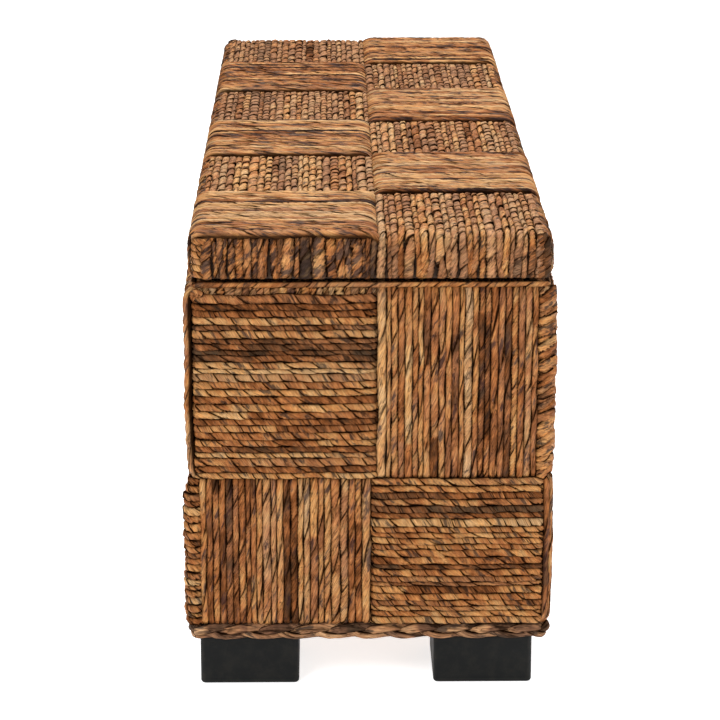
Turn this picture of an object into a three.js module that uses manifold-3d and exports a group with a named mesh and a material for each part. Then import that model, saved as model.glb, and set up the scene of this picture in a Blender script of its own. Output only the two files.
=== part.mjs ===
// A bench-height storage trunk: a softwood frame on four black block feet, clad in a large
// over-and-under weave of twisted banana-leaf rope, with a hinged woven lid and two folding stays.
// Millimetres, +Z up. X runs along the trunk, the front faces -Y and the hinges are at +Y.
// The origin is on the floor, under the middle of the trunk.
import * as THREE from "three";
import { mergeVertices } from "three/addons/utils/BufferGeometryUtils.js";
import Module from "manifold-3d";

// ---- Driving dimensions ----
const LENGTH = 1200; // outside of the woven body
const DEPTH = 400;
const FOOT_HEIGHT = 57;
const BODY_TOP = 463.8;
const LID_GAP = 4.2; // between the body's rim and the lid, where the hinge leaves lie
const LID_THICKNESS = 53;
const LID_INSET = { long: 3, deep: 7 }; // how far the lid stands back from the body's faces

const FIT = 0.3; // gap between pieces that touch
const SEAM = 0.15; // half of the gap at a mitred corner

const WALL_WEAVE = 14; // two layers of rope, one over the other
const LIP_REACH = 40; // how far the wall's ropes turn in over the top rail
const LIP_WEAVE = 6.5;
const RIM_ROPE = 6; // the thin rope round the body's top edge
const RIM_INSET = 5.5; // from the body's faces
const SHOULDER = 9; // height over which the wall leans in below the rim rope
const BRAID_HEIGHT = 20; // the three-strand plait round the bottom edge
const BRAID_THICKNESS = 12.5;

const TIMBER = 26; // square section of the body's posts, and width of its rails
const RAIL_HEIGHT = 30;
const PLY_LINING = 5;
const PLY_BOTTOM = 9;

const LID_TOP_WEAVE = 13;
const LID_SIDE_WEAVE = 8;
const LID_LIP_REACH = 33;
const LID_LIP_WEAVE = 5.7;
const LID_TIMBER = 25;
const LID_BOARD = 8.7;

const FOOT_SIZE = 110;
const FOOT_INSET = 15; // from the body's outside faces
const FOOT_SHIFT = -4.5; // the four feet sit a little towards the front
const FOOT_EDGE = 3;

const BOLT_RADIUS = 4;
const BOLT_LENGTH = 40;
const BOLT_HEAD = { radius: 8, height: 4 };

const HINGE_PLACES = [-450, 0, 450];
const HINGE_LENGTH = 60;
const LEAF_THICKNESS = 1.5;
const LEAF_WIDTH = 32;
const KNUCKLE_RADIUS = 3;
const PIN_RADIUS = 1.4;
const PIN_CLEARANCE = 0.25;

const STAY = {
  wallPivot: { y: -70, z: -220 }, // from the hinge axis
  lidPivot: { y: -180, z: -13 },
  width: 16,
  thickness: 2,
  gap: 0.6,
  rivet: 3,
  rivetHead: { radius: 5, height: 1 },
};
const BRACKET_PLATE = 1.6;

// ---- Sizes that follow ----
const LID_BOTTOM = BODY_TOP + LID_GAP;
const LID_TOP = LID_BOTTOM + LID_THICKNESS;
const BODY = { long: LENGTH / 2, deep: DEPTH / 2 };
const LID = { long: BODY.long - LID_INSET.long, deep: BODY.deep - LID_INSET.deep };
const FRAME = { long: BODY.long - WALL_WEAVE - FIT, deep: BODY.deep - WALL_WEAVE - FIT };
const LINING = { long: FRAME.long - TIMBER - FIT, deep: FRAME.deep - TIMBER - FIT };
const PANEL_TOP = FOOT_HEIGHT + FIT + PLY_BOTTOM;
const FLOOR = PANEL_TOP + FIT; // where the frame and the lining stand
const LIP_BOTTOM = BODY_TOP - LIP_WEAVE;
const LID_FRAME = { long: LID.long - LID_SIDE_WEAVE - FIT, deep: LID.deep - LID_SIDE_WEAVE - FIT };
const LID_FRAME_BOTTOM = LID_BOTTOM + LID_LIP_WEAVE + FIT;
const LID_WEAVE_BOTTOM = LID_TOP - LID_TOP_WEAVE;
const LID_FRAME_TOP = LID_WEAVE_BOTTOM - FIT - LID_BOARD - FIT;
const HINGE = { y: BODY.deep - KNUCKLE_RADIUS - 0.4, z: BODY_TOP + LID_GAP / 2 };
const FOOT_CENTRE = {
  long: BODY.long - FOOT_INSET - FOOT_SIZE / 2,
  deep: BODY.deep - FOOT_INSET - FOOT_SIZE / 2,
};

const MATERIALS = {
  leaf: new THREE.MeshStandardMaterial({ color: 0x9a6a3c, roughness: 0.72, metalness: 0 }),
  braid: new THREE.MeshStandardMaterial({ color: 0x8a6242, roughness: 0.72, metalness: 0 }),
  foot: new THREE.MeshStandardMaterial({ color: 0x1d1e1e, roughness: 0.55, metalness: 0 }),
  timber: new THREE.MeshStandardMaterial({ color: 0xb08a5c, roughness: 0.75, metalness: 0 }),
  lining: new THREE.MeshStandardMaterial({ color: 0x8c6844, roughness: 0.6, metalness: 0 }),
  steel: new THREE.MeshStandardMaterial({ color: 0x8d8a80, roughness: 0.38, metalness: 1 }),
};

const wasm = await Module();
wasm.setup();

// ---- Helpers ----
function mesh(name, geometry, material) {
  const made = new THREE.Mesh(geometry, material);
  made.name = name;
  return made;
}

function board(name, [x0, x1], [y0, y1], [z0, z1], material) {
  const made = mesh(name, new THREE.BoxGeometry(x1 - x0, y1 - y0, z1 - z0), material);
  made.position.set((x0 + x1) / 2, (y0 + y1) / 2, (z0 + z1) / 2);
  return made;
}

function solidOf(geometry) {
  const plain = geometry.clone();
  plain.deleteAttribute("normal");
  plain.deleteAttribute("uv");
  const merged = mergeVertices(plain, 1e-3);
  return new wasm.Manifold(
    new wasm.Mesh({
      numProp: 3,
      vertProperties: new Float32Array(merged.attributes.position.array),
      triVerts: new Uint32Array(merged.index.array),
    }),
  );
}

function geometryOf(solid) {
  const { vertProperties, triVerts } = solid.getMesh();
  const geometry = new THREE.BufferGeometry();
  geometry.setAttribute("position", new THREE.BufferAttribute(new Float32Array(vertProperties), 3));
  geometry.setIndex(new THREE.BufferAttribute(new Uint32Array(triVerts), 1));
  geometry.computeVertexNormals();
  return geometry;
}

function roundedRectangle(halfX, halfY, radius) {
  const shape = new THREE.Shape();
  shape.absarc(halfX - radius, halfY - radius, radius, 0, Math.PI / 2);
  shape.absarc(-halfX + radius, halfY - radius, radius, Math.PI / 2, Math.PI);
  shape.absarc(-halfX + radius, -halfY + radius, radius, Math.PI, 1.5 * Math.PI);
  shape.absarc(halfX - radius, -halfY + radius, radius, 1.5 * Math.PI, 2 * Math.PI);
  return shape;
}

// The four sides of a rectangular case: where each faces, as an angle about Z, and its two half sizes.
function sidesOf(half) {
  return [
    { side: "front", turn: -Math.PI / 2, reach: half.deep, span: half.long },
    { side: "back", turn: Math.PI / 2, reach: half.deep, span: half.long },
    { side: "left", turn: Math.PI, reach: half.long, span: half.deep },
    { side: "right", turn: 0, reach: half.long, span: half.deep },
  ];
}

// A wall of the case with mitred ends. The profile's points are [inset from the face, height].
function mitredWall(name, profile, { turn, reach, span }, material) {
  const shape = new THREE.Shape(profile.map(([inset, z]) => new THREE.Vector2(-inset, z)));
  const geometry = new THREE.ExtrudeGeometry(shape, { depth: 2, bevelEnabled: false });
  const at = geometry.attributes.position;
  for (let i = 0; i < at.count; i++) {
    const outward = at.getX(i);
    const along = (1 - at.getZ(i)) * (span + outward - SEAM);
    at.setXYZ(i, reach + outward, along, at.getY(i));
  }
  geometry.computeVertexNormals();
  const wall = mesh(name, geometry, material);
  wall.rotation.z = turn;
  return wall;
}

// A band that runs right round the case, with its edges bevelled.
function band(name, half, inset, thickness, bottom, height, bevel, material) {
  const radius = 9;
  const outer = { long: half.long - inset - bevel, deep: half.deep - inset - bevel };
  const shape = roundedRectangle(outer.long, outer.deep, radius);
  const wall = thickness - 2 * bevel;
  shape.holes.push(roundedRectangle(outer.long - wall, outer.deep - wall, bevel + 0.5));
  const geometry = new THREE.ExtrudeGeometry(shape, {
    depth: height - 2 * bevel,
    bevelEnabled: true,
    bevelThickness: bevel,
    bevelSize: bevel,
    bevelSegments: 1,
    curveSegments: 5,
  });
  const made = mesh(name, geometry, material);
  made.position.z = bottom + bevel;
  return made;
}

function cylinderAlongX(radius, length, segments = 16) {
  return new THREE.CylinderGeometry(radius, radius, length, segments).rotateZ(Math.PI / 2);
}

function cylinderAlongZ(radius, length, segments = 16) {
  return new THREE.CylinderGeometry(radius, radius, length, segments).rotateX(Math.PI / 2);
}

// ---- Body ----
function bodyFrame() {
  const group = new THREE.Group();
  const inner = { long: FRAME.long - TIMBER, deep: FRAME.deep - TIMBER };
  const top = LIP_BOTTOM - FIT;
  for (const [end, sx] of [["left", -1], ["right", 1]]) {
    for (const [face, sy] of [["front", -1], ["back", 1]]) {
      const post = board(
        `${face}_${end}_post`, [0, TIMBER], [0, TIMBER], [FLOOR, top], MATERIALS.timber,
      );
      post.position.x = sx * (inner.long + TIMBER / 2);
      post.position.y = sy * (inner.deep + TIMBER / 2);
      group.add(post);
    }
  }
  const levels = { top: [top - RAIL_HEIGHT, top], bottom: [FLOOR, FLOOR + RAIL_HEIGHT] };
  for (const [level, heights] of Object.entries(levels)) {
    for (const [face, sy] of [["front", -1], ["back", 1]]) {
      const span = inner.long - FIT;
      const rail = board(
        `${face}_${level}_rail`, [-span, span], [0, TIMBER], heights, MATERIALS.timber,
      );
      rail.position.y = sy * (inner.deep + TIMBER / 2);
      group.add(rail);
    }
    for (const [end, sx] of [["left", -1], ["right", 1]]) {
      const span = inner.deep - FIT;
      const rail = board(
        `${end}_${level}_rail`, [0, TIMBER], [-span, span], heights, MATERIALS.timber,
      );
      rail.position.x = sx * (inner.long + TIMBER / 2);
      group.add(rail);
    }
  }
  return group;
}

function bodyPanels() {
  const group = new THREE.Group();
  const heights = [FLOOR, BODY_TOP - 1];
  for (const [face, sy] of [["front", -1], ["back", 1]]) {
    const panel = board(
      `${face}_lining`, [-LINING.long, LINING.long], [0, PLY_LINING], heights, MATERIALS.lining,
    );
    panel.position.y = sy * (LINING.deep - PLY_LINING / 2);
    group.add(panel);
  }
  const span = LINING.deep - PLY_LINING - FIT;
  for (const [end, sx] of [["left", -1], ["right", 1]]) {
    const panel = board(
      `${end}_lining`, [0, PLY_LINING], [-span, span], heights, MATERIALS.lining,
    );
    panel.position.x = sx * (LINING.long - PLY_LINING / 2);
    group.add(panel);
  }
  let bottom = solidOf(
    new THREE.BoxGeometry(2 * FRAME.long, 2 * FRAME.deep, PLY_BOTTOM)
      .translate(0, 0, PANEL_TOP - PLY_BOTTOM / 2),
  );
  for (const { x, y } of footPlaces()) {
    const hole = cylinderAlongZ(BOLT_RADIUS + FIT, 3 * PLY_BOTTOM).translate(x, y, PANEL_TOP);
    bottom = bottom.subtract(solidOf(hole));
  }
  group.add(mesh("bottom_panel", geometryOf(bottom), MATERIALS.lining));
  return group;
}

function bodyWeave() {
  const group = new THREE.Group();
  const bottom = FOOT_HEIGHT + BRAID_HEIGHT + FIT;
  const ropeBed = BODY_TOP - RIM_ROPE - FIT;
  const ropeBack = RIM_INSET + RIM_ROPE + FIT;
  const profile = [
    [WALL_WEAVE, bottom],
    [0, bottom],
    [0, BODY_TOP - SHOULDER],
    [RIM_INSET, ropeBed],
    [ropeBack, ropeBed],
    [ropeBack, BODY_TOP],
    [LIP_REACH, BODY_TOP],
    [LIP_REACH, LIP_BOTTOM],
    [WALL_WEAVE, LIP_BOTTOM],
  ];
  for (const side of sidesOf(BODY)) {
    group.add(mitredWall(`${side.side}_weave`, profile, side, MATERIALS.leaf));
  }
  const rim = band(
    "rim_rope", BODY, RIM_INSET, RIM_ROPE, BODY_TOP - RIM_ROPE, RIM_ROPE, 1.5, MATERIALS.leaf,
  );
  const braid = band(
    "bottom_braid", BODY, 1, BRAID_THICKNESS, FOOT_HEIGHT, BRAID_HEIGHT, 3, MATERIALS.braid,
  );
  group.add(rim, braid);
  return group;
}

// ---- Feet ----
function footPlaces() {
  const places = [];
  for (const [end, sx] of [["left", -1], ["right", 1]]) {
    for (const [face, sy] of [["front", -1], ["back", 1]]) {
      const y = sy * FOOT_CENTRE.deep + FOOT_SHIFT;
      places.push({ name: `${face}_${end}`, x: sx * FOOT_CENTRE.long, y });
    }
  }
  return places;
}

function foot({ name, x, y }) {
  const half = FOOT_SIZE / 2 - FOOT_EDGE;
  const block = new THREE.ExtrudeGeometry(roundedRectangle(half, half, FOOT_EDGE), {
    depth: FOOT_HEIGHT - 2 * FOOT_EDGE,
    bevelEnabled: true,
    bevelThickness: FOOT_EDGE,
    bevelSize: FOOT_EDGE,
    bevelSegments: 3,
    curveSegments: 4,
  }).translate(0, 0, FOOT_EDGE);
  const pilot = cylinderAlongZ(BOLT_RADIUS + FIT, 2 * BOLT_LENGTH).translate(0, 0, PANEL_TOP);
  const made = mesh(`${name}_foot`, geometryOf(solidOf(block).subtract(solidOf(pilot))), MATERIALS.foot);
  made.position.set(x, y, 0);
  return made;
}

// A dome-headed bolt that holds a foot, put in from inside the trunk.
function footBolt({ name, x, y }) {
  const { radius, height } = BOLT_HEAD;
  const profile = [
    new THREE.Vector2(0, -BOLT_LENGTH + 2),
    new THREE.Vector2(BOLT_RADIUS, -BOLT_LENGTH + 5),
    new THREE.Vector2(BOLT_RADIUS, 0),
    new THREE.Vector2(radius, 0),
    new THREE.Vector2(radius * 0.92, height * 0.55),
    new THREE.Vector2(radius * 0.6, height * 0.9),
    new THREE.Vector2(0, height),
  ];
  const made = mesh(
    `${name}_foot_bolt`, new THREE.LatheGeometry(profile, 20).rotateX(Math.PI / 2), MATERIALS.steel,
  );
  made.position.set(x, y, PANEL_TOP + FIT);
  return made;
}

// ---- Lid ----
function lidFrame() {
  const group = new THREE.Group();
  const heights = [LID_FRAME_BOTTOM, LID_FRAME_TOP];
  const inner = { long: LID_FRAME.long - LID_TIMBER, deep: LID_FRAME.deep - LID_TIMBER };
  for (const [face, sy] of [["front", -1], ["back", 1]]) {
    const rail = board(
      `lid_${face}_rail`, [-LID_FRAME.long, LID_FRAME.long], [0, LID_TIMBER], heights, MATERIALS.timber,
    );
    rail.position.y = sy * (inner.deep + LID_TIMBER / 2);
    group.add(rail);
  }
  const span = inner.deep - FIT;
  const across = [
    ["lid_left_rail", -(inner.long + LID_TIMBER / 2)],
    ["lid_middle_rail", 0],
    ["lid_right_rail", inner.long + LID_TIMBER / 2],
  ];
  for (const [name, x] of across) {
    const rail = board(name, [0, LID_TIMBER], [-span, span], heights, MATERIALS.timber);
    rail.position.x = x;
    group.add(rail);
  }
  group.add(
    board(
      "lid_top_board",
      [-LID_FRAME.long, LID_FRAME.long],
      [-LID_FRAME.deep, LID_FRAME.deep],
      [LID_FRAME_TOP + FIT, LID_FRAME_TOP + FIT + LID_BOARD],
      MATERIALS.timber,
    ),
    board(
      "lid_lining",
      [-LID.long + LID_LIP_REACH + FIT, LID.long - LID_LIP_REACH - FIT],
      [-LID.deep + LID_LIP_REACH + FIT, LID.deep - LID_LIP_REACH - FIT],
      [LID_FRAME_BOTTOM - FIT - PLY_LINING, LID_FRAME_BOTTOM - FIT],
      MATERIALS.lining,
    ),
  );
  return group;
}

function lidWeave() {
  const group = new THREE.Group();
  const profile = [
    [LID_SIDE_WEAVE, LID_BOTTOM + LID_LIP_WEAVE],
    [LID_LIP_REACH, LID_BOTTOM + LID_LIP_WEAVE],
    [LID_LIP_REACH, LID_BOTTOM],
    [0, LID_BOTTOM],
    [0, LID_WEAVE_BOTTOM - FIT],
    [LID_SIDE_WEAVE, LID_WEAVE_BOTTOM - FIT],
  ];
  for (const side of sidesOf(LID)) {
    group.add(mitredWall(`lid_${side.side}_weave`, profile, side, MATERIALS.leaf));
  }
  const bevel = 5;
  const radius = 9;
  const shape = roundedRectangle(LID.long - bevel, LID.deep - bevel, radius);
  const slab = new THREE.ExtrudeGeometry(shape, {
    depth: LID_TOP_WEAVE - 2 * bevel,
    bevelEnabled: true,
    bevelThickness: bevel,
    bevelSize: bevel,
    bevelSegments: 3,
    curveSegments: 4,
  });
  const top = mesh("lid_top_weave", slab, MATERIALS.leaf);
  top.position.z = LID_WEAVE_BOTTOM + bevel;
  group.add(top);
  return group;
}

// ---- Hinges ----
// The leaf's plate lies above (up = 1) or below (up = -1) the pin's axis, and reaches towards -Y.
function hingeLeaf(name, x, up, knuckles) {
  const low = up > 0 ? 0.3 : -0.3 - LEAF_THICKNESS;
  const clear = KNUCKLE_RADIUS + 0.7;
  const plate = new THREE.BoxGeometry(HINGE_LENGTH, LEAF_WIDTH - clear, LEAF_THICKNESS)
    .translate(0, -(LEAF_WIDTH + clear) / 2, low + LEAF_THICKNESS / 2);
  let solid = solidOf(plate);
  for (const [from, to] of knuckles) {
    const length = to - from;
    const barrel = cylinderAlongX(KNUCKLE_RADIUS, length).translate((from + to) / 2, 0, 0);
    const bridge = new THREE.BoxGeometry(length, clear + 1, LEAF_THICKNESS)
      .translate((from + to) / 2, -(clear + 1) / 2, low + LEAF_THICKNESS / 2);
    solid = solid.add(solidOf(barrel)).add(solidOf(bridge));
  }
  const bore = cylinderAlongX(PIN_RADIUS + PIN_CLEARANCE, HINGE_LENGTH + 2);
  const made = mesh(name, geometryOf(solid.subtract(solidOf(bore))), MATERIALS.steel);
  made.position.set(x, HINGE.y, HINGE.z);
  return made;
}

function hinge(index, x) {
  const group = new THREE.Group();
  const half = HINGE_LENGTH / 2;
  const third = HINGE_LENGTH / 6;
  const gap = 0.25;
  const pin = mesh(`hinge_${index}_pin`, cylinderAlongX(PIN_RADIUS, HINGE_LENGTH), MATERIALS.steel);
  pin.position.set(x, HINGE.y, HINGE.z);
  group.add(
    hingeLeaf(`hinge_${index}_body_leaf`, x, -1, [[-half, -third - gap], [third + gap, half]]),
    hingeLeaf(`hinge_${index}_lid_leaf`, x, 1, [[-third + gap, third - gap]]),
    pin,
  );
  return group;
}

// ---- Folding stays ----
// Each arm is drawn flat, from its first pivot at the origin to its second along +X. The stay's
// layers run from the end wall inwards: lower arm and lid tab, then upper arm.
const STAY_LAYER = STAY.thickness + STAY.gap;

function armPlate(length) {
  const outline = new THREE.Shape();
  outline.absarc(length, 0, STAY.width / 2, -Math.PI / 2, Math.PI / 2);
  outline.absarc(0, 0, STAY.width / 2, Math.PI / 2, 1.5 * Math.PI);
  const plate = new THREE.ExtrudeGeometry(outline, {
    depth: STAY.thickness, bevelEnabled: false, curveSegments: 8,
  });
  return solidOf(plate).subtract(solidOf(cylinderAlongZ(STAY.rivet + FIT, 3 * STAY.thickness)));
}

// A rivet set in the arm it belongs to, with a head beyond each of the plates it passes through.
function rivetSolid(x, low, high) {
  const head = STAY.rivetHead;
  const shank = cylinderAlongZ(STAY.rivet, high - low + head.height).translate(x, 0, (low + high) / 2);
  const lowHead = cylinderAlongZ(head.radius, head.height).translate(x, 0, low - head.height / 2);
  const highHead = cylinderAlongZ(head.radius, head.height).translate(x, 0, high + head.height / 2);
  return solidOf(shank).add(solidOf(lowHead)).add(solidOf(highHead));
}

function armGeometry(length, rivetLow, rivetHigh) {
  return geometryOf(armPlate(length).add(rivetSolid(length, rivetLow, rivetHigh)));
}

// Stands a flat arm in the stay's upright plane, pointing from one pivot to the next.
function placeArm(arm, from, to, x, inward) {
  const angle = Math.atan2(to.z - from.z, to.y - from.y);
  const placed = new THREE.Group();
  placed.setRotationFromMatrix(new THREE.Matrix4().makeBasis(
    new THREE.Vector3(0, Math.cos(angle), Math.sin(angle)),
    new THREE.Vector3(0, -Math.sin(angle) * inward, Math.cos(angle) * inward),
    new THREE.Vector3(inward, 0, 0),
  ));
  placed.position.set(x, HINGE.y + from.y, HINGE.z + from.z);
  placed.add(arm);
  return placed;
}

function wallBracket(name, pivot, inward, x) {
  const head = STAY.rivetHead;
  const reach = BRACKET_PLATE + STAY.gap + STAY.thickness + STAY.gap;
  const plate = new THREE.BoxGeometry(BRACKET_PLATE, 24, 44).translate(inward * BRACKET_PLATE / 2, 0, -8);
  const shank = cylinderAlongX(STAY.rivet, reach).translate(inward * (reach + 0.5) / 2, 0, 0);
  const cap = cylinderAlongX(head.radius, head.height).translate(inward * (reach + head.height / 2), 0, 0);
  const solid = solidOf(plate).add(solidOf(shank)).add(solidOf(cap));
  const made = mesh(name, geometryOf(solid), MATERIALS.steel);
  made.position.set(x, HINGE.y + pivot.y, HINGE.z + pivot.z);
  return made;
}

function lidBracket(name, pivot, inward, x) {
  const underLining = LID_FRAME_BOTTOM - FIT - PLY_LINING - FIT - HINGE.z - pivot.z;
  const drop = underLining + STAY.width / 2 - 1;
  const base = new THREE.BoxGeometry(20, 40, BRACKET_PLATE)
    .translate(inward * 10, 0, underLining - BRACKET_PLATE / 2);
  const tab = new THREE.BoxGeometry(STAY.thickness, STAY.width, drop)
    .translate(inward * STAY.thickness / 2, 0, underLining - 0.5 - drop / 2);
  const hole = cylinderAlongX(STAY.rivet + FIT, 6 * STAY.thickness);
  const solid = solidOf(base).add(solidOf(tab)).subtract(solidOf(hole));
  const made = mesh(name, geometryOf(solid), MATERIALS.steel);
  made.position.set(x, HINGE.y + pivot.y, HINGE.z + pivot.z);
  return made;
}

// The two arms, the lid and the end wall make a parallelogram, so the upper arm never tilts.
function stay(end, sx) {
  const wall = STAY.wallPivot;
  const lidEnd = STAY.lidPivot;
  const knee = { y: wall.y + lidEnd.y, z: wall.z + lidEnd.z };
  const inward = -sx;
  const face = sx * (LINING.long - PLY_LINING - FIT);
  const lowerX = face + inward * (BRACKET_PLATE + STAY.gap);
  const upperX = lowerX + inward * STAY_LAYER;
  const lowerArm = armGeometry(Math.hypot(lidEnd.y, lidEnd.z), 0, 2 * STAY_LAYER);
  const upperArm = armGeometry(Math.hypot(wall.y, wall.z), -STAY_LAYER - STAY.gap, STAY.thickness);
  const group = new THREE.Group();
  group.add(
    wallBracket(`${end}_stay_wall_bracket`, wall, inward, face),
    lidBracket(`${end}_stay_lid_bracket`, lidEnd, inward, lowerX),
    placeArm(mesh(`${end}_stay_lower_arm`, lowerArm, MATERIALS.steel), wall, knee, lowerX, inward),
    placeArm(mesh(`${end}_stay_upper_arm`, upperArm, MATERIALS.steel), knee, lidEnd, upperX, inward),
  );
  return group;
}

// ---- Assembly ----
const body = new THREE.Group();
body.add(bodyFrame(), bodyPanels(), bodyWeave());
for (const place of footPlaces()) body.add(foot(place), footBolt(place));

const lid = new THREE.Group();
lid.add(lidFrame(), lidWeave());

const fittings = new THREE.Group();
HINGE_PLACES.forEach((x, i) => fittings.add(hinge(i + 1, x)));
fittings.add(stay("left", -1), stay("right", 1));

const trunk = new THREE.Group();
trunk.add(body, lid, fittings);

export default trunk;
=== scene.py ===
import math

import bpy
import numpy as np
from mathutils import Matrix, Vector

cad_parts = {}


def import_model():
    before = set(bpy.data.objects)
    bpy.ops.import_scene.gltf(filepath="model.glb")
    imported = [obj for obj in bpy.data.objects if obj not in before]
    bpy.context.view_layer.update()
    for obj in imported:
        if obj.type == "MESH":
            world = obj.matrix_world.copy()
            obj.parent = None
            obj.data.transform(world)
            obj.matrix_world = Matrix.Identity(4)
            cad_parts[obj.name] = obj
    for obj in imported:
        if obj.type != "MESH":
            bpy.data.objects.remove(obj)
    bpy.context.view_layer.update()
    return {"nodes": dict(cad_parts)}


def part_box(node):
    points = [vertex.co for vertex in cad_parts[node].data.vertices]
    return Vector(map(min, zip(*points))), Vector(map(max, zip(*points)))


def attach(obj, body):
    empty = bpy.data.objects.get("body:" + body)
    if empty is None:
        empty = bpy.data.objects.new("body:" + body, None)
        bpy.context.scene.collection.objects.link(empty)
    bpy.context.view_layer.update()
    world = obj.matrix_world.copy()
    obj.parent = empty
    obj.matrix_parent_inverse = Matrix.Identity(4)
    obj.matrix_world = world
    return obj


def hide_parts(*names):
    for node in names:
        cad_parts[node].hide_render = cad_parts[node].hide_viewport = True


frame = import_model()

MM = 0.001
TAU = 2 * math.pi

# ---- The trunk's own sizes, in millimetres, read from the CAD nodes ----


def box_mm(node):
    low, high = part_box(node)
    return np.array(low) * 1000, np.array(high) * 1000


wall_low, wall_high = box_mm("front_weave")
HALF_LONG = wall_high[0] + 0.15
HALF_DEEP = -wall_low[1]
BODY_TOP = wall_high[2]
BODY_BOTTOM = wall_low[2]
top_high = box_mm("lid_top_weave")[1]
LID_LONG = top_high[0]
LID_DEEP = top_high[1]
LID_TOP = top_high[2]
LID_BOTTOM = box_mm("lid_front_weave")[0][2]
BRAID_LOW, BRAID_HIGH = box_mm("bottom_braid")
RIM_LOW, RIM_HIGH = box_mm("rim_rope")

ROPE = 7.9  # mean spacing of the ropes
ROW_SPLIT = 246.0  # height at which the walls' two rows of squares meet
ROPE_TOP = BODY_TOP - 9.4  # the topmost sideways rope; short upright ends show above it
ROPE_HEIGHT = 8.6  # a rope's thickness, out of the weave
UNDER = -12.6  # depth of a rope that runs beneath its neighbours
OVER = -4.2  # and of one that runs over them
DIVE = 9  # how far a rope runs on beneath its neighbours
WALL_STEP = 1.8  # between the points of a wall rope's path
TRACE_STEP = 1.6  # between the points of a lid rope's path
CORNER = 15.0  # radius of the walls' upright corners
LID_CORNER = 13.0


def wobble(s, rng, wavelength):
    """An uneven wave along a distance, of about unit size: three sines added together."""
    out = np.zeros_like(s)
    for _ in range(3):
        out += np.sin(TAU * s / (wavelength * rng.uniform(0.6, 1.8)) + rng.uniform(0, TAU))
    return out * 0.8 / math.sqrt(3)


def smoothstep(x):
    x = np.clip(x, 0, 1)
    return x * x * (3 - 2 * x)


def running(steps):
    """The sum of the steps so far, from 0."""
    return np.concatenate([[0], np.cumsum(steps)])


def add(name, data):
    """A new object in the scene."""
    made = bpy.data.objects.new(name, data)
    bpy.context.collection.objects.link(made)
    return made


def unit(v):
    return v / np.maximum(np.linalg.norm(v, axis=-1, keepdims=True), 1e-9)


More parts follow.
